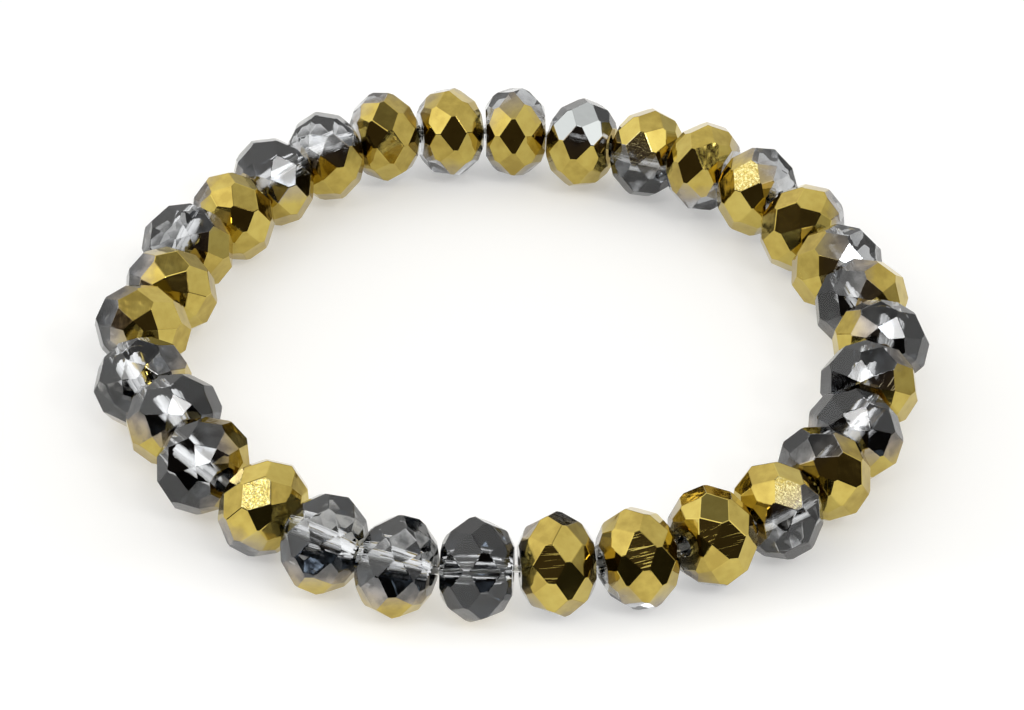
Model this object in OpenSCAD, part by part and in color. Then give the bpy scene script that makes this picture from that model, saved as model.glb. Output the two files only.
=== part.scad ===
/* [Bead] */
// Width of a bead across its girdle
bead_d = 8; // [7:0.1:8.4]
// Length of the longest beads along the hole
bead_l = 6; // [5.4:0.1:6]
// Number of facets in one row of the cut
facets = 8; // [7:1:9]
// Diameter of the hole through a bead
bore_d = 1.6; // [1.5:0.1:1.8]

/* [Ring] */
// Distance from bead to bead, measured round the ring
pitch = 6.1; // [6.1:0.05:6.6]

/* [Cord] */
// Diameter of the elastic cord
cord_d = 0.6; // [0.5:0.1:0.7]

/* [Hidden] */
// How each bead lies, clockwise from the left end of the rear row, one row a bead.
// OUT and AHEAD move it off the ring, outwards and towards the next bead, in mm.
// LIFT raises it off the table where its neighbours hold it up, in mm.
// TURN, DIP and ROLL turn it off the ring's line, out of level and about its hole.
// LOP tips its cut towards one end, in degrees, and SHORT is how much shorter it is.
// A program fitted these numbers to the photograph and rounded them. They weren't
// measured or chosen by hand.
OUT = 0;
AHEAD = 1;
LIFT = 2;
TURN = 3;
DIP = 4;
ROLL = 5;
LOP = 6;
SHORT = 7;
BEADS = [
    [ 1.2,  0.1, 0.2,  -2,   4,  17,   3, 0.5],
    [ 0.5, -0.3, 0.0,   3,   4,   3,   8, 0.5],
    [ 0.0, -0.6, 0.0,   4,   1,   7,   9, 0.7],
    [-1.2, -0.4, 0.0,  -8,  -2,  23,  -2, 0.4],
    [-0.9, -0.3, 0.0,  -3,  -2,  18,  -4, 0.5],
    [-1.0, -0.5, 0.4,   5,  -4,  24,  -9, 0.7],
    [-1.0, -0.5, 0.5,   4,  -6,   5,   3, 0.7],
    [-1.2, -0.1, 0.1,   3,   2,  10,   5, 0.0],
    [-1.3,  0.4, 0.0,  -4,   2,  28,   9, 0.7],
    [-0.9,  0.0, 0.2,   8,   2,  38,   9, 0.7],
    [ 0.0,  0.1, 0.4,  -6,  -3,  15,   2, 0.5],
    [-0.4, -0.2, 0.3,   2,  -2,   0,   9, 0.7],
    [ 0.2, -0.3, 0.0,  -2,   0,  17,  -3, 0.4],
    [ 0.5, -0.6, 0.1,   2,   1,   5,   1, 0.7],
    [ 0.7, -0.9, 0.1,   2,   0,  27,   1, 0.3],
    [ 0.3, -1.0, 0.1,   7,  -7,  44,   5, 0.6],
    [ 0.2, -0.9, 0.0,   3,  -1,  16,  -1, 0.1],
    [-0.4, -0.8, 0.0,   2,   0,   8,   4, 0.3],
    [ 0.3, -0.9, 0.1,   3,   0,  26,  -3, 0.5],
    [ 1.0, -1.1, 0.0,   0,  -2,  15,  -7, 0.3],
    [ 0.6, -1.1, 0.0,   1,   0,   7,  -7, 0.0],
    [-0.2, -0.8, 0.0,   1,  -4,   4,  -4, 0.0],
    [ 0.2,  0.0, 0.3,  -1,   5,  35,  -9, 0.0],
    [-0.3,  0.3, 0.4,   2,   1,   5,  -8, 0.5],
    [ 0.8,  0.1, 0.0,   4,   7,  33,  -8, 0.2],
    [ 0.6,  0.7, 0.5,  -9,  -5,  32,  -9, 0.0],
    [-0.7,  0.5, 0.1,  -5,   2,  43,  -5, 0.6],
    [ 0.0,  0.4, 0.4,   8,   6,   8,  -9, 0.0],
    [-0.5,  0.7, 0.0,  -4,   2,  22,   2, 0.3],
    [ 0.3,  0.6, 0.2,   1,   1,  32,  -6, 0.5],
    [ 0.7,  0.4, 0.2,   1,   5,  40,  -4, 0.6],
];

// Rows of flat cuts on each half of a bead. TILT is the angle from the girdle and
// DEPTH the distance from the bead's middle as a share of its radius. PHASE is the
// turn as a share of one facet, and FOLLOW how far the row goes with the bead's LOP.
// The tilts, the depths and lop_depth are rounded from the same program's fit.
TILT = 0;
DEPTH = 1;
PHASE = 2;
FOLLOW = 3;
CUT_ROWS = [
    [18.5, 0.91, 0.5, 1],
    [40.5, 0.874, 0, 0.6],
    [62, 0.821, 0.5, 0.3],
];
// Change of a row's depth for each degree of LOP, as a share of the radius
lop_depth = 0.0027;

beads = len(BEADS);

// The first bead's angle on the ring, and how far a tipped bead's corner reaches
// below its radius
first_angle = 112;
seat = 0.06;
// Middle of the ring, placed so that the uneven ring's box is centred on the origin
ring_middle = [0.35, 0.04, 0];

bead_r = bead_d / 2;
ring_r = pitch * beads / (2 * PI);
block = 3 * bead_d;

// The cord has a point this far inside each end of each hole, clear of the wall
inset = 0.3;
wall_gap = 0.1;
cord_sides = 8;

// Angle of bead i on the ring, its outward direction and its heading
function ring_angle(i) = first_angle - i * 360 / beads;
function outward(a) = [cos(a), sin(a), 0];
function heading(a) = [sin(a), -cos(a), 0];

// Length of bead i, its middle and the angles that turn it into place
function bead_length(i) = bead_l - BEADS[i][SHORT];
function bead_place(i) =
    let (a = ring_angle(i), row = BEADS[i])
    ring_middle + (ring_r + row[OUT]) * outward(a) + row[AHEAD] * heading(a)
    + [0, 0, bead_r + seat + row[LIFT]];
function bead_turn(i) =
    let (row = BEADS[i]) [row[ROLL], row[DIP], ring_angle(i) - 90 + row[TURN]];

// Direction of bead i's hole, and the middle of the hole's first or last end
function bead_axis(i) =
    let (t = bead_turn(i)) [cos(t.y) * cos(t.z), cos(t.y) * sin(t.z), -sin(t.y)];
function hole_end(i, end) = bead_place(i) + end * bead_length(i) / 2 * bead_axis(i);

// The half space under one flat cut, as a block
module cut_block(tilt, depth, turn) {
    rotate([turn, 0, 0])
        rotate([0, 0, -tilt])
            translate([-block / 2, depth - block, -block / 2])
                cube(block);
}

// A bead along X: two halves of flat cuts, one turned by half a facet from the other
module cut_bead(length, lop) {
    difference() {
        intersection() {
            cube([length, block, block], center = true);
            intersection_for (side = [-1, 1])
                intersection_for (row = CUT_ROWS)
                    intersection_for (k = [1:facets])
                        cut_block(
                            side * row[TILT] + lop * row[FOLLOW],
                            bead_r * (row[DEPTH] - side * lop * lop_depth * row[FOLLOW]),
                            (k + row[PHASE] + side / 4) * 360 / facets);
        }
        rotate([0, 90, 0])
            cylinder(d = bore_d, h = 2 * length, center = true, $fn = 48);
    }
}

module bead(i) {
    color("darkgoldenrod")
        translate(bead_place(i))
            rotate(bead_turn(i))
                cut_bead(bead_length(i), BEADS[i][LOP]);
}

// The cord's line has a point just inside each end of each hole. The point leans
// towards the hole that faces it, as far as the hole's wall lets it.
function cord_point(i, end) =
    let (facing = hole_end((i + end + beads) % beads, -end))
    let (jump = (facing - hole_end(i, end)) / 2)
    let (aside = jump - (jump * bead_axis(i)) * bead_axis(i))
    let (slack = (bore_d - cord_d) / 2 - wall_gap)
    hole_end(i, end) - end * inset * bead_axis(i)
    + aside * min(1, slack / max(norm(aside), slack));
function cord_line() = [
    for (i = [0:beads - 1]) for (end = [-1, 1]) cord_point(i, end)
];

// A ring of points round one point of a closed line, square to the line there
function cord_ring(line, k) =
    let (n = len(line))
    let (v = line[(k + 1) % n] - line[(k + n - 1) % n])
    let (side = cross(v, [0, 0, 1]))
    let (across = side / norm(side))
    let (up = cross(across, v / norm(v)))
    [for (s = [0:cord_sides - 1])
        let (a = s * 360 / cord_sides)
        line[k] + cord_d / 2 * (cos(a) * across + sin(a) * up)];

module elastic_cord() {
    line = cord_line();
    rings = len(line);
    color("whitesmoke")
        polyhedron(
            points = [for (k = [0:rings - 1]) each cord_ring(line, k)],
            faces = [
                for (k = [0:rings - 1]) for (s = [0:cord_sides - 1])
                    let (next = (k + 1) % rings, turn = (s + 1) % cord_sides)
                    [
                        k * cord_sides + s,
                        k * cord_sides + turn,
                        next * cord_sides + turn,
                        next * cord_sides + s
                    ]
            ]);
}

for (i = [1:beads]) {
    bead(i - 1);
}
elastic_cord();
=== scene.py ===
# %% [markdown]
# # A stretch bracelet of half-gilt glass beads
# The bracelet is a closed ring of faceted smoke-grey glass beads on a clear elastic
# cord. Each bead was cut, polished and then coated on one side with a mirror film of
# gold in a vacuum chamber, so one half is a metal mirror and the other is clear glass.
# The solids of the beads come from the part's CAD model, which this script loads as a
# fixed frame. What is added here is what light needs: softened edges, polished
# surfaces, the gold film, the smoke tint, a cord that looks like elastic, and a studio.

# %% Load the frame
import math

import bmesh
import bpy
import numpy as np
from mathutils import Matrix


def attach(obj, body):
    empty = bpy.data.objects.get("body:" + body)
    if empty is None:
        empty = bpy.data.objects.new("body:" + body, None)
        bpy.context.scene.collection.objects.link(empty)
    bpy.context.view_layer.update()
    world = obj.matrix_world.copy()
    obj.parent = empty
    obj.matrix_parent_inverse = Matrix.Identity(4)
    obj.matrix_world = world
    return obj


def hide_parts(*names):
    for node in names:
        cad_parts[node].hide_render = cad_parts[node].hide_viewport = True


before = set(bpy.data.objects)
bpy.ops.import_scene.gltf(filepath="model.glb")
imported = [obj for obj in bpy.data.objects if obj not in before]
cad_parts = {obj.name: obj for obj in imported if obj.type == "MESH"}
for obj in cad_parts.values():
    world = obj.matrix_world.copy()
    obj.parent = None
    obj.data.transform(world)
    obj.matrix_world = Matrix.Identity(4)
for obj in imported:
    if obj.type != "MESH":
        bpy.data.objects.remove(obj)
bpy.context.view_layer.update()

MM = 0.001
beads_in_order = sorted(
    (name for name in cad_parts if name.startswith("bead_")),
    key=lambda name: int(name.split("_")[1]),
)

# %% [markdown]
# ## The camera
# The photograph was taken from the front, about 37 degrees above the table, with the
# ring filling the frame. A long lens from 28 cm away gives the same slight growth of
# the near beads as the photograph shows. A wide lens from close by would fill the frame
# too, but would make the near beads far too large. The angle, distance, aim and lens are
# rounded from a program's fit to the photograph.

# %% Camera
CAMERA_HEIGHT_ANGLE = math.radians(37.0)
CAMERA_DISTANCE = 281.5 * MM
CAMERA_AIM = np.array([0.14, -2.99, 3.95]) * MM
LENS_MM = 120.7
SENSOR_MM = 36.0
CLIP_START = 10 * MM


def put_in_scene(name, data):
    """A new object for a mesh or a camera, at the origin and unturned."""
    thing = bpy.data.objects.new(name, data)
    bpy.context.scene.collection.objects.link(thing)
    return thing


camera_data = bpy.data.cameras.new("camera")
camera_data.lens = LENS_MM
camera_data.sensor_width = SENSOR_MM
camera_data.clip_start = CLIP_START
camera = put_in_scene("camera", camera_data)
camera.location = CAMERA_AIM + CAMERA_DISTANCE * np.array(
    [0.0, -math.cos(CAMERA_HEIGHT_ANGLE), math.sin(CAMERA_HEIGHT_ANGLE)]
)
camera.rotation_euler = (math.pi / 2 - CAMERA_HEIGHT_ANGLE, 0.0, 0.0)
bpy.context.scene.camera = camera
print("camera at", [round(v, 4) for v in camera.location])

# %% [markdown]
# ## Welding the CAD triangles
# A CAD node comes as loose triangles, each with corners of its own, and softened edges
# need triangles that share their corners. The CAD mesh itself is left alone. In arrays
# read from it, corners that fall in the same cell of a very fine grid are made one, and
# a triangle that is left without area is dropped.

# %% Weld each bead
WELD_GRID = 0.0005 * MM


def read_rows(items, name, width=1, kind=float):
    """A property of all items as an array, with a row for each item where an item has
    more than one number."""
    values = np.zeros(len(items) * width, kind)
    items.foreach_get(name, values)
    return values.reshape(-1, width) if width > 1 else values


def merged_mesh(name):
    """Points and triangles of a CAD node with its doubled corners made one."""
    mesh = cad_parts[name].data
    mesh.calc_loop_triangles()
    points = read_rows(mesh.vertices, "co", 3)
    corners = read_rows(mesh.loop_triangles, "vertices", 3, int)
    _, first, same = np.unique(
        np.round(points / WELD_GRID).astype(int), axis=0,
        return_index=True, return_inverse=True,
    )
    triangles = same.ravel()[corners]
    has_area = (np.diff(np.sort(triangles, 1), axis=1) != 0).all(1)
    return points[first], triangles[has_area]


bead_meshes = {name: merged_mesh(name) for name in beads_in_order}
print("points in all beads", sum(len(points) for points, _ in bead_meshes.values()))

# %% [markdown]
# ## Measuring each bead
# The film lies on one side of each bead, so the script has to know how each bead lies.
# It measures that on the mesh, so that the beads can be moved in the CAD model without
# a change here. The two end faces are the only large flat faces that look in exactly
# opposite directions, so their shared normal is the direction of the hole. The rim of
# the hole gives the bead's middle.

# %% Find each bead's hole
MIN_END_AREA = 1.5 * MM * MM
OPPOSITE_WITHIN = 0.01
SAME_PLANE = 0.002 * MM
HOLE_REACH_MM = 1.0
NORMAL_DIGITS = 3
NO_AREA = 1e-18


def normals_and_areas(points, triangles):
    """Unit normal and area of each triangle, from the cross product of two sides."""
    a, b, c = (points[triangles[:, k]] for k in range(3))
    cross = np.cross(b - a, c - a)
    size = np.linalg.norm(cross, axis=1)
    return cross / np.maximum(size, NO_AREA)[:, None], size / 2


def hole_of(points, triangles, guess):
    """Direction, middle and half length of a bead's hole. Flat faces are grouped by
    their normals, and the ends are the large groups whose opposite is a group too. Of
    their two directions, the hole's is the one that runs with the guess."""
    normals, areas = normals_and_areas(points, triangles)
    rounded = np.round(normals, NORMAL_DIGITS) + 0.0
    groups, group = np.unique(rounded, axis=0, return_inverse=True)
    large = groups[np.bincount(group.ravel(), weights=areas) > MIN_END_AREA]
    opposite = np.array([np.abs(large + g).max(1).min() < OPPOSITE_WITHIN for g in large])
    ends = large[opposite]
    axis = ends[np.argmax(ends @ guess)]
    axis = axis / np.linalg.norm(axis)
    along = points @ axis
    middle = 0.0
    for end in (along.max(), along.min()):
        rim = points[np.abs(along - end) < SAME_PLANE]
        close = np.linalg.norm(rim - rim.mean(0), axis=1) < HOLE_REACH_MM * MM
        middle = middle + rim[close].mean(0) / 2
    return axis, middle, (along.max() - along.min()) / 2


rough_middles = np.array([(p.max(0) + p.min(0)) / 2 for p, _ in bead_meshes.values()])
ring_middle = rough_middles.mean(0)
headings = np.roll(rough_middles, -1, 0) - np.roll(rough_middles, 1, 0)
headings /= np.linalg.norm(headings, axis=1)[:, None]
holes = [
    hole_of(*bead_meshes[name], headings[i]) for i, name in enumerate(beads_in_order)
]
print("bead lengths mm", [round(2 * half / MM, 2) for _, _, half in holes])

# %% [markdown]
# ## Which side is gold
# In the coating chamber the metal comes from one side, so the film covers half of a
# bead and thins out at its border. Strung on the cord, every bead has turned its own
# way. The table gives two angles a bead. The first is where its gold side faces, about
# its hole: 0 is up, 90 is away from the ring's middle and -90 is towards it. The second
# is how far the film reaches round the bead from there, both ways.
#
# The angles weren't measured by hand. They started as the best match that a program
# found between this rule and the photograph. Eleven pairs are as the program gave them,
# and the other twenty were changed after looking at renders.

# %% Gold side of each bead
FILM = {
    1: (-70, 75), 2: (-45, 65), 3: (-75, 55), 4: (-165, 100), 5: (45, 95), 6: (-25, 70),
    7: (-85, 70), 8: (-60, 90), 9: (-85, 65), 10: (115, 105), 11: (-135, 95),
    12: (140, 95), 13: (180, 90), 14: (130, 105), 15: (-60, 90), 16: (40, 90),
    17: (35, 75), 18: (55, 70), 19: (-140, 75), 20: (165, 66), 21: (168, 62),
    22: (-45, 125), 23: (-115, 85), 24: (165, 85), 25: (-140, 78), 26: (-85, 100),
    27: (-90, 105), 28: (-130, 80), 29: (-75, 95), 30: (180, 95), 31: (-140, 80),
}
UP = np.array([0.0, 0.0, 1.0])


def gold_frame(index):
    """Three directions of a bead: along its hole, square to both others, and towards
    the middle of its gold side, which is up turned outwards by the table's angle."""
    axis, middle, _ = holes[index]
    up = UP - axis * (UP @ axis)
    up /= np.linalg.norm(up)
    out = np.cross(up, axis)
    out *= np.sign(out @ (middle - ring_middle))
    angle = math.radians(FILM[index + 1][0])
    gold = math.cos(angle) * up + math.sin(angle) * out
    return np.array([axis, np.cross(gold, axis), gold])


print("gold side of the first bead faces", gold_frame(0)[2].round(2))

# %% [markdown]
# ## One helper for nodes
# A material is a graph of small nodes, which could also be drawn by hand in the Shader
# Editor. As text it can be read and changed, if each node takes one call. So one
# function adds a node, sets its properties and sockets, joins its inputs and gives back
# its output. Colours are written as they look on a screen, in sRGB hex, and one function
# turns them into the linear light that the renderer adds up.

# %% Node and colour helpers


def srgb(code):
    """An sRGB hex colour as linear light: below 0.04045 a straight line, above it a
    power of 2.4."""
    c = np.array([int(code[i : i + 2], 16) / 255 for i in (1, 3, 5)])
    c = np.where(c <= 0.04045, c / 12.92, ((c + 0.055) / 1.055) ** 2.4)
    return (*c.tolist(), 1.0)


def add(tree, kind, settings=None, take=None, stops=(), **sockets):
    """Adds a node of a kind and gives back its first output, or the one that take
    names. A socket's value is a number, a colour or another node's output, and a name
    such as Value__1 means the second socket called Value. Stops are the places of a
    ColorRamp's colours, from 0 to 1, with the colours."""
    node = tree.nodes.new("ShaderNode" + kind)
    for key, value in (settings or {}).items():
        setattr(node, key, value)
    if stops:
        elements = node.color_ramp.elements
        while len(elements) < len(stops):
            elements.new(0.5)
        for element, (at, colour) in zip(elements, stops):
            element.position = at
            element.color = colour
    for key, value in sockets.items():
        name, _, number = key.partition("__")
        found = [s for s in node.inputs if s.name.replace(" ", "_") == name and s.enabled]
        socket = found[int(number or 0)]
        if isinstance(value, bpy.types.NodeSocket):
            tree.links.new(value, socket)
        else:
            socket.default_value = value
    return next((s for s in node.outputs if s.enabled and take in (None, s.name)), None)


def new_material(name):
    """An empty material with nodes, and its node tree."""
    material = bpy.data.materials.new(name)
    material.use_nodes = True
    material.node_tree.nodes.clear()
    return material, material.node_tree


print("half grey on a screen is", round(srgb("#808080")[0], 3), "as light")

# %% [markdown]
# ## Half-gilt smoke glass
# The glass is crystal with a faint grey tint. The film is metal put on in a vacuum: a
# mirror of antique gold where it is thick, champagne and then silver where it thins
# out. So the material mixes a metal and a glass. The border could be a painted picture,
# but numbers stored on each bead's mesh keep the pattern on its bead: the film's
# thickness, a tone for each facet, and marks on a few facets.
#
# The first step is the film's thickness. What the mesh stores runs evenly round the
# bead, and a slow noise makes it slightly uneven, as such a film is.

# %% How thick the film is
FILM_RANGE = (-0.8, 0.4)
CLOUD_MM = 1.25
FILM_UNEVEN = 0.09

bead_surface, gilt = new_material("half_gilt_smoke_crystal")
place = add(gilt, "Attribute", {"attribute_name": "place_mm"}, take="Vector")
cloud = add(gilt, "TexNoise", Vector=place, Scale=1 / CLOUD_MM, Detail=3.0)
uneven = add(gilt, "MapRange", Value=cloud, To_Min=-FILM_UNEVEN, To_Max=FILM_UNEVEN)
thickness = add(gilt, "Attribute", {"attribute_name": "film"}, take="Fac")
film = add(gilt, "Math", {"operation": "ADD"}, Value=thickness, Value__1=uneven)
share = add(
    gilt, "MapRange", Value=film, From_Min=FILM_RANGE[0], From_Max=FILM_RANGE[1]
)
print("film thickness is drawn from", FILM_RANGE[0], "to", FILM_RANGE[1])

# %% [markdown]
# ## The film's colour
# A ramp turns the thickness into the metal's colour. Facets of one bead never match
# exactly, because each met the metal at its own angle, so each gets a tone of its own.
# The same slow noise clouds the tone within a facet.

# %% What colour the film is
FILM_COLOURS = [
    (-0.60, "#AEB7C4"), (-0.36, "#A3A6AC"), (-0.17, "#A39C94"), (-0.02, "#B3A67F"),
    (0.11, "#C4B15F"),
]
FACET_TONES = [(0.0, "#D8D1C6"), (0.5, "#F2EEE6"), (1.0, "#FFFFFF")]
TONE_CLOUD = 0.35
CLOUD_SPAN = (0.3, 0.7)


def film_place(film_thickness):
    """Where a thickness lies in the film's range, from 0 to 1."""
    return (film_thickness - FILM_RANGE[0]) / (FILM_RANGE[1] - FILM_RANGE[0])


metal_colour = add(
    gilt, "ValToRGB", Fac=share,
    stops=[(film_place(at), srgb(code)) for at, code in FILM_COLOURS],
)
clouded = add(
    gilt, "MapRange", Value=cloud, From_Min=CLOUD_SPAN[0], From_Max=CLOUD_SPAN[1],
    To_Min=-TONE_CLOUD, To_Max=TONE_CLOUD,
)
facet_tone = add(gilt, "Attribute", {"attribute_name": "facet_tone"}, take="Fac")
shade = add(gilt, "Math", {"operation": "ADD"}, Value=facet_tone, Value__1=clouded)
tones = add(gilt, "ValToRGB", Fac=shade, stops=[(at, srgb(code)) for at, code in FACET_TONES])
outside = add(
    gilt, "Mix", {"data_type": "RGBA", "blend_type": "MULTIPLY"}, Factor=1.0,
    A=metal_colour, B=tones,
)
print(len(FILM_COLOURS), "film colours and", len(FACET_TONES), "facet tones")

# %% [markdown]
# ## Silver facets, and painted glints on rubbed facets
# On one bead the film is silver instead of gold on some upper facets. On four others one
# facet has been rubbed, and pale cream specks are painted into its colour in place of light
# glinting in the scratched metal. The specks are a noise on the facet's own flat map. Real
# scratches are a few hundredths of a millimetre wide, too fine to show in the render, so they
# are drawn coarser.

# %% Marks on the film
SCUFF_AND_GLINT_MM = 0.24
GLINT_FLECK_SPAN = (0.46, 0.60)
GLINT_FLECK_SHARE = 0.75
COLOUR_MIX = {"data_type": "RGBA"}

facet_map = add(gilt, "UVMap", {"uv_map": "facet_mm"})
pale = add(gilt, "Attribute", {"attribute_name": "silver"}, take="Fac")
worn_and_glinting = add(gilt, "Attribute", {"attribute_name": "wear_and_glints"}, take="Fac")
outside = add(gilt, "Mix", COLOUR_MIX, Factor=pale, A=outside, B=srgb("#B6BABA"))
# This noise makes both the real scuffs in the bump and the painted glint specks in the
# colour.
scuffs_and_glints = add(
    gilt, "TexNoise", Vector=facet_map, Scale=1 / SCUFF_AND_GLINT_MM, Detail=3.0, Roughness=0.75,
    Distortion=1.2,
)
glint_level = add(
    gilt, "MapRange", Value=scuffs_and_glints, From_Min=GLINT_FLECK_SPAN[0], From_Max=GLINT_FLECK_SPAN[1],
    To_Max=GLINT_FLECK_SHARE,
)
painted_glints = add(gilt, "Math", {"operation": "MULTIPLY"}, Value=worn_and_glinting, Value__1=glint_level)
# Painted glints: pale cream specks mixed into the metal's colour on the rubbed facets, in
# place of light glinting in the scratches.
outside = add(gilt, "Mix", COLOUR_MIX, Factor=painted_glints, A=outside, B=srgb("#EFE6B0"))
print("flecks are drawn", SCUFF_AND_GLINT_MM, "mm wide")

# %% [markdown]
# ## How much of the glass is covered
# A thick film hides the glass, and a thin one lets part of the light through. A second
# ramp gives the share that is metal. A haze, a slightly finer noise, makes the thin film
# patchy. Seen from inside, through the glass, the same film is a dark grey mirror, so the
# back of the surface gets a colour of its own, which the haze makes lighter and darker.

# %% Cover and inner side of the film
FILM_COVER = [(-0.62, 0.015), (-0.36, 0.28), (-0.12, 1.0)]
HAZE_MM = 1.1
HAZE_SPAN = (0.35, 0.65)
HAZE_THINS = -0.10
HAZE_THICKENS = 0.03

haze = add(gilt, "TexNoise", Vector=place, Scale=1 / HAZE_MM, Detail=3.0)
hazy = add(gilt, "MapRange", Value=haze, From_Min=HAZE_SPAN[0], From_Max=HAZE_SPAN[1])
patchy = add(gilt, "MapRange", Value=hazy, To_Min=HAZE_THINS, To_Max=HAZE_THICKENS)
covering = add(gilt, "Math", {"operation": "ADD"}, Value=share, Value__1=patchy)
covered = add(
    gilt, "ValToRGB", Fac=covering,
    stops=[(film_place(at), (part, part, part, 1.0)) for at, part in FILM_COVER],
)
cover = add(gilt, "Math", {"operation": "MAXIMUM"}, Value=covered, Value__1=pale)
inside = add(gilt, "Mix", COLOUR_MIX, Factor=hazy, A=srgb("#14171B"), B=srgb("#414850"))
backside = add(gilt, "NewGeometry", take="Backfacing")
film_colour = add(gilt, "Mix", COLOUR_MIX, Factor=backside, A=outside, B=inside)
print("the film hides the glass from thickness", FILM_COVER[-1][0])

# %% [markdown]
# ## Polish
# A cut facet is flat, but not perfectly: it has very gentle waves and fine lines left
# by the polishing wheel. They could be cut into the mesh, but they are at most a
# hundredth of a millimetre deep, so a bump that only tilts the light is enough. Real
# polishing lines are finer than the render can show, so they are drawn 0.12 mm apart.

# %% Waves, lines and scuffs
WAVE_MM = 0.9
WAVE_STRENGTH = 0.5
POLISH_LINE_MM = 0.12
LINES_ALONG_PER_MM = 0.35
LINE_STRENGTH = (0.035, 0.12)
POLISH_DEPTH = 0.02 * MM
SCUFF_DEPTH = 0.010 * MM

lined = add(gilt, "Attribute", {"attribute_name": "lined"}, take="Fac")
lines_map = add(
    gilt, "Mapping", Vector=facet_map, Scale=(LINES_ALONG_PER_MM, 1 / POLISH_LINE_MM, 1.0)
)
lines = add(gilt, "TexNoise", Vector=lines_map, Scale=1.0, Detail=2.0)
waves = add(gilt, "TexNoise", Vector=place, Scale=1 / WAVE_MM, Detail=1.0)
wavy = add(gilt, "Bump", Strength=WAVE_STRENGTH, Distance=POLISH_DEPTH, Height=waves)
line_depth = add(
    gilt, "MapRange", Value=lined, To_Min=LINE_STRENGTH[0], To_Max=LINE_STRENGTH[1]
)
polish = add(
    gilt, "Bump", Strength=line_depth, Distance=POLISH_DEPTH, Height=lines, Normal=wavy
)
scuff = add(gilt, "Bump", Strength=worn_and_glinting, Distance=SCUFF_DEPTH, Height=scuffs_and_glints, Normal=polish)
print("waves", WAVE_MM, "mm wide and lines", POLISH_LINE_MM, "mm apart")

# %% [markdown]
# ## How sharp the mirror is
# A polished metal film is a mirror with very little blur. It is a little duller where
# it has been rubbed. A few facets have deeper lines, and parts of those are much duller
# and scatter the light.

# %% Roughness of the film
FILM_ROUGHNESS = (0.06, 0.12)
GROOVE_SPAN = (0.58, 0.68)
GROOVE_ROUGHNESS = 0.45

dull = add(
    gilt, "MapRange", Value=worn_and_glinting, To_Min=FILM_ROUGHNESS[0], To_Max=FILM_ROUGHNESS[1]
)
groove = add(
    gilt, "MapRange", Value=lines, From_Min=GROOVE_SPAN[0], From_Max=GROOVE_SPAN[1],
    To_Max=GROOVE_ROUGHNESS,
)
grooved = add(gilt, "Math", {"operation": "MULTIPLY"}, Value=lined, Value__1=groove)
rough = add(gilt, "Math", {"operation": "MAXIMUM"}, Value=dull, Value__1=grooved)
print("film roughness from", FILM_ROUGHNESS[0], "to", GROOVE_ROUGHNESS)

# %% [markdown]
# ## Glass, metal and smoke
# Crystal bends light strongly: its IOR is 1.5 to 1.6, here 1.56, which gives the bright
# and dark patches inside a clear half. The grey tint is absorption in the volume and not
# a surface colour, because long paths inside the bead then come out darker, as in real
# smoked glass.

# %% Join the bead's material
GLASS_IOR = 1.56
GLASS_ROUGHNESS = 0.01
SMOKE_DENSITY = 60.0

glass = add(
    gilt, "BsdfPrincipled", Base_Color=srgb("#F1F3F5"), Roughness=GLASS_ROUGHNESS,
    IOR=GLASS_IOR, Transmission_Weight=1.0, Normal=scuff,
)
metal = add(
    gilt, "BsdfPrincipled", Base_Color=film_colour, Metallic=1.0, Roughness=rough,
    Normal=scuff,
)
both = add(gilt, "MixShader", Fac=cover, Shader=glass, Shader__1=metal)
smoke = add(gilt, "VolumeAbsorption", Color=srgb("#989DA6"), Density=SMOKE_DENSITY)
add(gilt, "OutputMaterial", Surface=both, Volume=smoke)
print(bead_surface.name, "has", len(gilt.nodes), "nodes")

# %% [markdown]
# ## The drilled hole
# The hole is drilled through the glass. Its wall shows through a clear half as a bright
# tube with streaks along it. The streaks are a noise stretched along the hole, each
# about 0.2 mm wide and 3 mm long.

# %% Material of the hole's wall
STREAKS_PER_MM = (0.3, 5.0, 5.0)
BORE_ROUGHNESS = 0.02

bore_surface, bore = new_material("drilled_glass_bore")
bore_place = add(bore, "Attribute", {"attribute_name": "place_mm"}, take="Vector")
stretched = add(bore, "Mapping", Vector=bore_place, Scale=STREAKS_PER_MM)
streaks = add(bore, "TexNoise", Vector=stretched, Scale=1.0, Detail=2.0)
streaked = add(bore, "Mix", COLOUR_MIX, Factor=streaks, A=srgb("#B9BBBC"), B=srgb("#FFFFFF"))
wall = add(
    bore, "BsdfPrincipled", Base_Color=streaked, Roughness=BORE_ROUGHNESS,
    IOR=GLASS_IOR, Transmission_Weight=1.0,
)
add(bore, "OutputMaterial", Surface=wall)
print(bore_surface.name, "has", len(bore.nodes), "nodes")

# %% [markdown]
# ## The shape of a bead
# The welded triangles are joined back into flat facets, so that each facet is one face.
# Blender's limited dissolve does that, because it joins only faces that lie in one
# plane. The arrays of the points, normals and corners are all that the next steps need.

# %% From triangles to facets
FLAT_WITHIN = math.radians(0.4)


def cut_mesh(name):
    """A mesh of a bead in which triangles that lie in one plane are one face."""
    points, triangles = bead_meshes[name]
    mesh = bpy.data.meshes.new(name + "_cut")
    mesh.from_pydata(points.tolist(), [], triangles.tolist())
    work = bmesh.new()
    work.from_mesh(mesh)
    bmesh.ops.dissolve_limit(
        work, angle_limit=FLAT_WITHIN, verts=work.verts[:], edges=work.edges[:]
    )
    work.to_mesh(mesh)
    work.free()
    return mesh


def shape_of(mesh):
    """A mesh's points and its faces' normals, and for each corner the number of its
    face and of its point."""
    count = read_rows(mesh.polygons, "loop_total", kind=int)
    return (
        read_rows(mesh.vertices, "co", 3),
        read_rows(mesh.polygons, "normal", 3),
        np.repeat(np.arange(len(count)), count),
        read_rows(mesh.loops, "vertex_index", kind=int),
    )


cut_meshes = [cut_mesh(name) for name in beads_in_order]
shapes = [shape_of(mesh) for mesh in cut_meshes]
print("faces of the first bead", len(cut_meshes[0].polygons))
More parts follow.
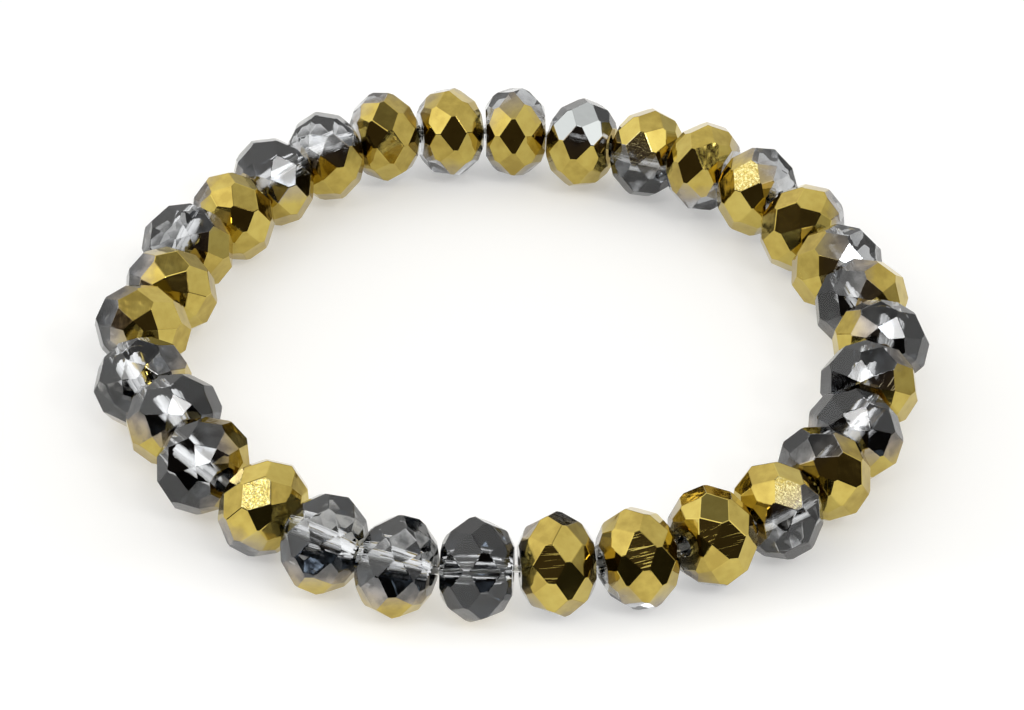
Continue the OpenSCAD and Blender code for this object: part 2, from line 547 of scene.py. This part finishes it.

# %% [markdown]
# ## Facets that stand out
# A few facets of single beads have marks: a rubbed film with painted glints on it, deeper
# polishing lines or a silver film. Each is named by the direction that it faces, and the
# facet that faces most nearly that way gets the mark. The directions are rounded to tenths
# from normals that a program printed for spots picked in the photograph.

# %% Marked facets
# Rubbed facets are worn, duller and scuffed, and they also carry painted glints in their
# colour.
RUBBED_AND_GLINTING = {
    5: [(-0.1, -0.8, 0.6)], 7: [(-0.2, -0.6, 0.8)], 15: [(0.1, -0.6, 0.8)],
    22: [(0.0, -0.6, 0.8)],
}
LINED = {
    5: [(-0.1, -0.8, 0.6)], 12: [(0.1, -0.7, 0.7)], 16: [(-0.2, -0.8, 0.6), (0.2, -0.8, 0.6)],
    17: [(-0.1, -0.7, 0.7)], 18: [(-0.3, -0.7, 0.6)],
}
SILVER = {
    4: [(0.2, -0.3, 0.9), (0.4, -0.6, 0.7), (-0.5, -0.4, 0.8), (-0.2, -0.3, 0.9)],
}


def marked(table, index):
    """One number for each face of a bead: 1 on the faces that the table marks."""
    normal = shapes[index][1]
    marks = np.zeros(len(normal))
    for direction in table.get(index + 1, []):
        marks[np.argmax(normal @ np.array(direction))] = 1.0
    return marks


for title, table in (("rubbed", RUBBED_AND_GLINTING), ("lined", LINED), ("silver", SILVER)):
    print(title, "facets", int(sum(marked(table, i).sum() for i in range(len(holes)))))

# %% [markdown]
# ## A flat map on every facet
# Polishing lines run straight across a facet, each facet in a direction of its own. So
# every facet gets a flat UV map in millimetres, turned at random and shifted far enough
# that no two facets show the same stretch of noise. On a facet with deeper lines they
# run along the hole, as the photograph shows them.

# %% Facet map
SHIFT_MM = 50
OFF_AXIS = 0.01
random_numbers = np.random.default_rng(31)


def facet_uv(index, lined_faces):
    """Each corner's place on its facet's map: how far it lies from the bead's middle
    along a line in the facet and square to that line, plus the facet's own shift. The
    line is found from the hole's direction, moved a little so that it is never square
    to a facet."""
    points, normal, owner, point = shapes[index]
    axis, middle, _ = holes[index]
    turn = random_numbers.uniform(0, math.pi, len(normal))
    turn = np.where(lined_faces > 0, math.pi / 2, turn)[:, None]
    side = np.cross(normal, axis + OFF_AXIS)
    side /= np.linalg.norm(side, axis=1)[:, None]
    line = np.cos(turn) * side + np.sin(turn) * np.cross(normal, side)
    across = np.cross(normal, line)
    shift = random_numbers.uniform(-SHIFT_MM, SHIFT_MM, (len(normal), 2))
    from_middle = (points[point] - middle) / MM
    flat = [(from_middle * way[owner]).sum(1) for way in (line, across)]
    return np.stack(flat, 1) + shift[owner]


print("facet maps are shifted by up to", SHIFT_MM, "mm")

# %% [markdown]
# ## Film thickness on the mesh
# The metal comes from one side. It is thickest on facets that face that side, and on
# the part of the bead that stands nearest to it. The stored number is a mix of both:
# how squarely a facet faces the source, and how high a corner stands towards it. The
# table's reach shifts the border between gold and glass.

# %% Film thickness at each corner
BEAD_RADIUS_MM = 4.0
FACET_SHARE = 0.6
QUARTER_TURN = 90


def places_of(index):
    """A bead's points in mm from its middle: along its hole, across it, and towards the
    gold side."""
    return (shapes[index][0] - holes[index][1]) @ gold_frame(index).T / MM


def film_on(index):
    """The film's thickness at each corner: a share of how squarely its facet faces the
    gold side, the rest of how high the corner stands towards it, and the sine of how
    far the film reaches past a quarter turn from its middle."""
    _, normal, owner, point = shapes[index]
    facing = (normal @ gold_frame(index)[2])[owner]
    height = places_of(index)[point, 2] / BEAD_RADIUS_MM
    reach = math.radians(FILM[index + 1][1] - QUARTER_TURN)
    return FACET_SHARE * facing + (1 - FACET_SHARE) * height + math.sin(reach)


print("film on the first bead", film_on(0).min().round(2), "to", film_on(0).max().round(2))

# %% [markdown]
# ## The faces of the hole
# The wall of the hole has a material of its own, so the script has to know its faces.
# They are the ones that lie close to the hole's line and face square to it.

# %% Faces of the hole
SQUARE_TO_HOLE = 0.1


def is_in_hole(index):
    """True for each face whose middle is within the hole's reach of the hole's line and
    whose normal is nearly square to that line."""
    axis, middle, _ = holes[index]
    off_line = read_rows(cut_meshes[index].polygons, "center", 3) - middle
    off_line -= (off_line @ axis)[:, None] * axis
    near_line = np.linalg.norm(off_line, axis=1) < HOLE_REACH_MM * MM
    return near_line & (np.abs(shapes[index][1] @ axis) < SQUARE_TO_HOLE)


print("faces in the first bead's hole", is_in_hole(0).sum())

# %% [markdown]
# ## Softened edges
# Each CAD bead is a hard-edged solid. Polishing rounds every edge by a few hundredths
# of a millimetre, and those thin rounded edges catch the light and draw the cut. A
# Bevel modifier does the same and leaves the mesh under it as it is. It takes only edges
# sharper than 9 degrees, so those between the narrow faces of the hole's wall stay.

# %% Round the edges
EDGE_ROUND_MM = 0.04
EDGE_ANGLE = math.radians(9)


def round_edges(piece):
    """A Bevel of one step on each edge that is sharper than the angle."""
    soften = piece.modifiers.new("rounded_edges", "BEVEL")
    soften.width = EDGE_ROUND_MM * MM
    soften.segments = 1
    soften.limit_method = "ANGLE"
    soften.angle_limit = EDGE_ANGLE
    soften.use_clamp_overlap = True


print("edges are rounded by", EDGE_ROUND_MM, "mm")

# %% [markdown]
# ## The beads
# A finished bead is its cut mesh with the numbers that its material reads, stored at
# its points and corners. It takes the place of the CAD bead and stays where that lies.

# %% Build the beads
TONE_RANGE = (0.1, 0.9)


def store(mesh, name, values):
    """Stores one number for each corner of a mesh under a name."""
    layer = mesh.attributes.new(name, "FLOAT", "CORNER")
    layer.data.foreach_set("value", values.astype(np.float32))


def bead_piece(index, name):
    """A bead with its marks, facet map, film, tones, materials and softened edges."""
    mesh = cut_meshes[index]
    _, normal, owner, _ = shapes[index]
    place_layer = mesh.attributes.new("place_mm", "FLOAT_VECTOR", "POINT")
    place_layer.data.foreach_set("vector", places_of(index).astype(np.float32).ravel())
    lined_faces = marked(LINED, index)
    store(mesh, "wear_and_glints", marked(RUBBED_AND_GLINTING, index)[owner])
    store(mesh, "lined", lined_faces[owner])
    store(mesh, "silver", marked(SILVER, index)[owner])
    uv = facet_uv(index, lined_faces)
    uv_layer = mesh.uv_layers.new(name="facet_mm")
    uv_layer.data.foreach_set("uv", uv.astype(np.float32).ravel())
    store(mesh, "film", film_on(index))
    store(mesh, "facet_tone", random_numbers.uniform(*TONE_RANGE, len(normal))[owner])
    mesh.polygons.foreach_set("material_index", is_in_hole(index).astype(int))
    mesh.materials.append(bead_surface)
    mesh.materials.append(bore_surface)
    piece = put_in_scene(name + "_cut", mesh)
    round_edges(piece)
    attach(piece, "root")
    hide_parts(name)
    return piece


bead_pieces = [bead_piece(i, name) for i, name in enumerate(beads_in_order)]
print(len(bead_pieces), "beads built")

# %% [markdown]
# ## The elastic cord
# Stretch cord is drawn polyurethane: clear, soft and slightly milky. Plastics of this
# kind have an IOR of about 1.5. The cord shows only in the short gaps between the beads,
# as a pale thread, so a plain material without a pattern is enough.

# %% Cord material
CORD_IOR = 1.5
CORD_ROUGHNESS = 0.12
CORD_CLEARNESS = 0.75

cord_surface, cord_tree = new_material("clear_elastic_polyurethane")
cord_body = add(
    cord_tree, "BsdfPrincipled", Base_Color=srgb("#D8D8D2"), Roughness=CORD_ROUGHNESS,
    IOR=CORD_IOR, Transmission_Weight=CORD_CLEARNESS,
)
add(cord_tree, "OutputMaterial", Surface=cord_body)
print(cord_surface.name, "has", len(cord_tree.nodes), "nodes")

# %% [markdown]
# ## The cord's route
# Under tension the cord runs straight through each hole and leans, in the gap, towards
# the next one. So it has two points in each hole, just inside its ends, and a smooth
# closed curve joins them all. The holes are those measured above, so the cord follows
# the beads wherever the CAD model puts them.

# %% Cord route
CORD_STEPS = 8
HOLE_INSET = 0.3 * MM
CORD_SLACK = 0.4 * MM
NO_LENGTH = 1e-9


def cord_route():
    """Two points in each hole, just inside its ends, each leaning half way towards the
    hole that faces it, as far as the wall allows."""
    ends = np.array([[m - h * a, m + h * a] for a, m, h in holes])
    axes = np.array([a for a, _, _ in holes])
    facing = np.stack([np.roll(ends[:, 1], 1, 0), np.roll(ends[:, 0], -1, 0)], 1)
    jump = (facing - ends) / 2
    aside = jump - (jump * axes[:, None]).sum(2)[..., None] * axes[:, None]
    size = np.linalg.norm(aside, axis=2)[..., None]
    aside *= np.minimum(1.0, CORD_SLACK / np.maximum(size, NO_LENGTH))
    inward = np.array([1.0, -1.0])[None, :, None] * HOLE_INSET * axes[:, None]
    return (ends + inward + aside).reshape(-1, 3)


def smooth_closed(points, steps):
    """A closed curve through the points: each span is a cubic whose slopes at its ends
    run along the line between the neighbours on either side, and are as long as the
    span."""
    a, b, c, d = (np.roll(points, k, 0)[:, None] for k in (1, 0, -1, -2))
    t = (np.arange(steps) / steps)[None, :, None]
    span = np.linalg.norm(c - b, axis=2, keepdims=True)
    slope_b = (c - a) / np.linalg.norm(c - a, axis=2, keepdims=True) * span
    slope_c = (d - b) / np.linalg.norm(d - b, axis=2, keepdims=True) * span
    curve = (
        (2 * t**3 - 3 * t**2 + 1) * b + (t**3 - 2 * t**2 + t) * slope_b
        + (-2 * t**3 + 3 * t**2) * c + (t**3 - t**2) * slope_c
    )
    return curve.reshape(-1, 3)


cord_line = smooth_closed(cord_route(), CORD_STEPS)
cord_length = np.linalg.norm(np.roll(cord_line, -1, 0) - cord_line, axis=1).sum()
print("cord length mm", round(cord_length / MM, 1))

# %% [markdown]
# ## The cord's tube
# A tube is a circle carried along a line. Blender can give a curve a round thickness,
# but an array shows how a tube is made: its points form a grid, with a row for each
# point of the line and a column for each point of the circle, and the faces follow from
# the grid alone. The same function makes the faces of the studio's sheets below.

# %% Build the cord
CORD_RADIUS = 0.3 * MM
CORD_SIDES = 12


def grid_faces(rows, cols, closed):
    """Four-cornered faces between the points of a grid. In a closed grid the last row
    and column meet the first ones."""
    past_end = 0 if closed else 1
    row, col = np.meshgrid(
        np.arange(rows - past_end), np.arange(cols - past_end), indexing="ij"
    )
    here = row * cols + col
    right = row * cols + (col + 1) % cols
    ahead = (row + 1) % rows * cols + (col + 1) % cols
    behind = (row + 1) % rows * cols + col
    return np.stack([here, right, ahead, behind], 2).reshape(-1, 4)


def closed_tube(line, radius, sides):
    """A circle of points round each point of a closed line, square to the line there,
    from the cosine and sine of its angle."""
    along = np.roll(line, -1, 0) - np.roll(line, 1, 0)
    along /= np.linalg.norm(along, axis=1)[:, None]
    side = np.cross(along, UP)
    side /= np.linalg.norm(side, axis=1)[:, None]
    up = np.cross(side, along)
    a = 2 * np.pi * np.arange(sides) / sides
    ring = np.cos(a)[None, :, None] * side[:, None] + np.sin(a)[None, :, None] * up[:, None]
    return (line[:, None] + radius * ring).reshape(-1, 3)


tube_points = closed_tube(cord_line, CORD_RADIUS, CORD_SIDES)
tube_faces = grid_faces(len(cord_line), CORD_SIDES, closed=True)
cord_mesh = bpy.data.meshes.new("elastic_cord_clear")
cord_mesh.from_pydata(tube_points.tolist(), [], tube_faces.tolist())
cord_mesh.polygons.foreach_set("use_smooth", np.ones(len(tube_faces), bool))
cord_mesh.materials.append(cord_surface)
cord = put_in_scene("elastic_cord_clear", cord_mesh)
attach(cord, "root")
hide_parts("elastic_cord")
print("cord faces", len(tube_faces))

# %% [markdown]
# ## The table
# A mirror shows its surroundings, so the studio is most of the picture. The table is a
# sheet of white acrylic that is lit from below, as photographers use for jewellery, and
# it looks matt and glows. The glow is stronger in front of the ring than inside and
# behind it, because the lower facets at the front mirror a brighter table.

# %% Table
TABLE_HALF = 1.5
ACRYLIC_ROUGHNESS = 0.9
GLOW_FRONT = 0.55
GLOW_BEHIND = 0.36
GLOW_STEP_MM = (-38, -22)
SMOOTH = {"interpolation_type": "SMOOTHSTEP"}


def sheet(name, points, rows, cols, material):
    """A sheet of the studio from a grid of points, row by row."""
    mesh = bpy.data.meshes.new(name)
    mesh.from_pydata(points.tolist(), [], grid_faces(rows, cols, closed=False).tolist())
    mesh.materials.append(material)
    thing = put_in_scene(name, mesh)
    return thing


table_surface, table_tree = new_material("white_acrylic_light_table")
table_place = add(table_tree, "TexCoord", take="Object")
table_y = add(table_tree, "SeparateXYZ", take="Y", Vector=table_place)
glow = add(
    table_tree, "MapRange", SMOOTH, Value=table_y, From_Min=GLOW_STEP_MM[0] * MM,
    From_Max=GLOW_STEP_MM[1] * MM, To_Min=GLOW_FRONT, To_Max=GLOW_BEHIND,
)
acrylic = add(
    table_tree, "BsdfPrincipled", Base_Color=srgb("#D4D4D3"), Roughness=ACRYLIC_ROUGHNESS,
    Emission_Color=srgb("#FFFFFE"), Emission_Strength=glow,
)
add(table_tree, "OutputMaterial", Surface=acrylic)
table_points = TABLE_HALF * np.array([(-1, -1, 0), (1, -1, 0), (-1, 1, 0), (1, 1, 0)])
sheet("floor", table_points, 2, 2, table_surface)
print("table glows", GLOW_FRONT, "in front and", GLOW_BEHIND, "behind")

# %% [markdown]
# ## A black flag
# Facets that face low and forward mirror something dark in the photograph. A flag, a
# low strip of black felt bent round the front of the ring, gives them that, because felt
# swallows nearly all light. It is hidden from the camera and from soft light and casts
# no shadow, so it shows only in mirrors and through the glass.

# %% Flag
FLAG_HALF_ANGLE = math.radians(55)
FLAG_RADIUS = 60 * MM
FLAG_FOOT = 0.5 * MM
FLAG_HEIGHT = 15 * MM
FLAG_COLUMNS = 25

flag_surface, flag_tree = new_material("black_felt")
felt = add(flag_tree, "BsdfPrincipled", Base_Color=srgb("#141210"), Roughness=1.0)
add(flag_tree, "OutputMaterial", Surface=felt)
turns = np.linspace(-FLAG_HALF_ANGLE, FLAG_HALF_ANGLE, FLAG_COLUMNS)
flag_rim = np.stack([FLAG_RADIUS * np.sin(turns), -FLAG_RADIUS * np.cos(turns)], 1)
flag_points = np.concatenate(
    [np.c_[flag_rim, np.full(FLAG_COLUMNS, height)] for height in (FLAG_FOOT, FLAG_HEIGHT)]
)
flag = sheet("black_flag", flag_points, 2, FLAG_COLUMNS, flag_surface)
flag.visible_camera = False
flag.visible_diffuse = False
flag.visible_shadow = False
print("flag is", round((FLAG_HEIGHT - FLAG_FOOT) / MM, 1), "mm high")

# %% [markdown]
# ## The sky of the studio
# The sky is a large soft light overhead and behind. It could be built from area lamps,
# but it is drawn on the world, because the facets mirror it directly and every edge in
# it would show. Each row of the table is a soft step of brightness along one axis of the
# direction looked in: where it starts and ends, and its level before and after. Nearly
# overhead, a round gap between the lights is darker still.

# %% Soft light of the sky
SKY_STEPS = [
    ("Z", 0.0, 0.42, 0.60, 1.30),
    ("Z", 0.84, 0.96, 1.0, 0.45),
    ("X", -1.0, 1.0, 1.2, 0.72),
    ("Y", 0.1, 0.7, 1.0, 0.88),
]
CEILING_GAP = ((-0.2, 0.07, 0.98), 0.975, 0.990, 1.0, 0.45)

world = bpy.data.worlds.new("studio")
world.use_nodes = True
sky = world.node_tree
sky.nodes.clear()
look = add(sky, "TexCoord", take="Generated")
look_along = {axis: add(sky, "SeparateXYZ", take=axis, Vector=look) for axis in "XYZ"}


def near(direction, start, end, first=0.0, last=1.0):
    """A soft round spot on the sky about a direction: a soft step over the cosine of
    the angle from it."""
    cosine = add(
        sky, "VectorMath", {"operation": "DOT_PRODUCT"}, take="Value",
        Vector=look, Vector__1=direction,
    )
    return add(
        sky, "MapRange", SMOOTH, Value=cosine, From_Min=start, From_Max=end,
        To_Min=first, To_Max=last,
    )


level = near(*CEILING_GAP)
for axis, start, end, first, last in SKY_STEPS:
    soft_step = add(
        sky, "MapRange", SMOOTH, Value=look_along[axis], From_Min=start, From_Max=end,
        To_Min=first, To_Max=last,
    )
    level = add(sky, "Math", {"operation": "MULTIPLY"}, Value=level, Value__1=soft_step)
print(len(SKY_STEPS), "soft steps in the sky")

# %% [markdown]
# ## Softboxes and lamps
# Behind the camera stand a few softboxes and bare lamps. They are what the white facets and
# the brightest gold facets mirror. Each is a round spot with an azimuth from the rear, an
# elevation and a radius in degrees, and a brightness. The directions were worked out by a
# program from what bright facets in the photograph mirror, and then picked and adjusted.

# %% Lights behind the camera
SOFTBOXES = [
    (-126, 58, 14, 1.7), (-104, 46, 10, 1.7), (114, 43, 12, 1.7), (-179, 66, 7, 0.7),
    (149, 70, 6, 1.7),
]
LAMPS = [
    (143, 54, 5, 14.0), (157, 50, 4, 9.0), (130, 41, 5, 16.0), (-166, 61, 3, 12.0),
    (-133, 49, 4, 9.0), (-154, 54, 3, 5.0), (-118, 45, 3, 4.0),
]
FULL_WITHIN = 0.8


def with_lights(base, lights):
    """The brighter of a level and each light, at every direction. A light is full
    within four fifths of its radius and fades to nothing at its rim."""
    for azimuth, elevation, radius, brightness in lights:
        a = math.radians(azimuth)
        e = math.radians(elevation)
        towards = (math.sin(a) * math.cos(e), math.cos(a) * math.cos(e), math.sin(e))
        rim = math.cos(math.radians(radius))
        full = math.cos(math.radians(radius * FULL_WITHIN))
        base = add(
            sky, "Math", {"operation": "MAXIMUM"}, Value=base,
            Value__1=near(towards, rim, full, 0.0, brightness),
        )
    return base


soft_light = with_lights(level, SOFTBOXES)
lamps = with_lights(0.0, LAMPS)
print(len(SOFTBOXES), "softboxes and", len(LAMPS), "lamps")

# %% [markdown]
# ## The photographer's side
# The side where the photographer stands is dark, and the facets that face the camera
# mirror it, which gives the dark patches between the golden ones. It is the lower part
# of the front, and two round spots, about the camera and to its right, belong to it
# too. Bare lamps shine through it, and the sky and the softboxes are dimmed by it.

# %% Dark side
DARK_FRONT_Y = (-0.50, -0.38)
DARK_BELOW_Z = (0.70, 0.77)
DARK_SPOTS = [((0.0, -0.72, 0.69), 0.955, 0.970), ((0.46, -0.45, 0.77), 0.985, 0.993)]
DARK_LEVEL = 0.04

in_front = add(
    sky, "MapRange", SMOOTH, Value=look_along["Y"], From_Min=DARK_FRONT_Y[0],
    From_Max=DARK_FRONT_Y[1], To_Min=1.0, To_Max=0.0,
)
is_low = add(
    sky, "MapRange", SMOOTH, Value=look_along["Z"], From_Min=DARK_BELOW_Z[0],
    From_Max=DARK_BELOW_Z[1], To_Min=1.0, To_Max=0.0,
)
dark = add(sky, "Math", {"operation": "MULTIPLY"}, Value=in_front, Value__1=is_low)
for spot in DARK_SPOTS:
    dark = add(sky, "Math", {"operation": "MAXIMUM"}, Value=dark, Value__1=near(*spot))
dimmer = add(sky, "MapRange", SMOOTH, Value=dark, To_Min=1.0, To_Max=DARK_LEVEL)
level = add(sky, "Math", {"operation": "MULTIPLY"}, Value=soft_light, Value__1=dimmer)
level = add(sky, "Math", {"operation": "MAXIMUM"}, Value=level, Value__1=lamps)
print("the dark side keeps", DARK_LEVEL, "of the light")

# %% [markdown]
# ## Colour of the light
# The light is nearly white, and the dark side is warm, like a dim room. The camera
# itself sees a plain pale background instead of the sky's pattern, as a photograph on
# white would show it.

# %% Join the world
warm = add(sky, "Math", {"operation": "SUBTRACT"}, Value=dark, Value__1=lamps)
tone = add(sky, "Mix", COLOUR_MIX, Factor=warm, A=srgb("#FFFEFC"), B=srgb("#FFE7D4"))
light = add(sky, "Background", Color=tone, Strength=level)
backdrop = add(sky, "Background", Color=srgb("#FCFCFC"), Strength=1.0)
camera_ray = add(sky, "LightPath", take="Is Camera Ray")
seen = add(sky, "MixShader", Fac=camera_ray, Shader=light, Shader__1=backdrop)
add(sky, "OutputWorld", Surface=seen)
bpy.context.scene.world = world
bpy.context.scene.view_settings.view_transform = "Standard"
print("the sky has", len(sky.nodes), "nodes")
